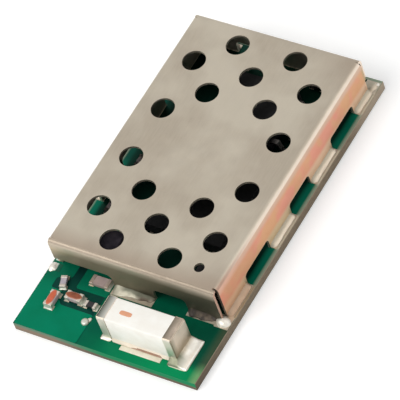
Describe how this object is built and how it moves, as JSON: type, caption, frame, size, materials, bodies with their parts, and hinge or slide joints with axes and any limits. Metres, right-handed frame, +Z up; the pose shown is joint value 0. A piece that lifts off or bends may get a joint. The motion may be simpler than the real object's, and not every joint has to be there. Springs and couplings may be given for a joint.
{
  "type": "short-range radio module",
  "caption": "Small radio circuit module: green board with a perforated folded shield can over its chips and a white ceramic block antenna on the bare end.",
  "frame": {"origin": "middle of the underside, on the faces of the solder lands", "axes": "+X across the board, +Y along the board from the antenna end to the shielded end, +Z up through the shield can's lid"},
  "size_m": [0.0156, 0.0288, 0.0041],
  "materials": {
    "board": "gloss",
    "gold_land": "satin",
    "tinned_land": "satin",
    "can_sheet": "satin",
    "solder": "gloss",
    "antenna_ceramic": "satin",
    "end_plating": "satin",
    "capacitor_ceramic": "satin",
    "resistor_glaze": "gloss",
    "inductor_ceramic": "satin",
    "filter_ceramic": "satin",
    "chip_mould": "matte",
    "lead_metal": "satin",
    "lid_metal": "satin"
  },
  "bodies": {
    "root": {"circuit_board": "board", "underside_lands": "gold_land", "top_lands": "tinned_land", "shield_can": "can_sheet", "shield_solder": "solder", "antenna_block": "antenna_ceramic", "antenna_end_caps": "end_plating", "antenna_solder": "solder", "matching_capacitors": "capacitor_ceramic", "matching_capacitor_ends": "end_plating", "tuning_resistor": "resistor_glaze", "tuning_resistor_ends": "end_plating", "tuning_inductor": "inductor_ceramic", "tuning_inductor_ends": "end_plating", "feed_capacitor": "filter_ceramic", "feed_capacitor_ends": "end_plating", "antenna_zone_solder": "solder", "radio_chip": "chip_mould", "radio_chip_contacts": "lead_metal", "memory_chip": "chip_mould", "memory_chip_leads": "lead_metal", "regulator": "chip_mould", "regulator_leads": "lead_metal", "crystal_base": "inductor_ceramic", "crystal_lid": "lid_metal", "band_filter": "filter_ceramic", "band_filter_ends": "end_plating", "supply_capacitors": "capacitor_ceramic", "supply_capacitor_ends": "end_plating", "pull_resistors": "resistor_glaze", "pull_resistor_ends": "end_plating", "supply_coil": "inductor_ceramic", "supply_coil_ends": "end_plating", "inner_solder": "solder"}
  },
  "joints": []
}
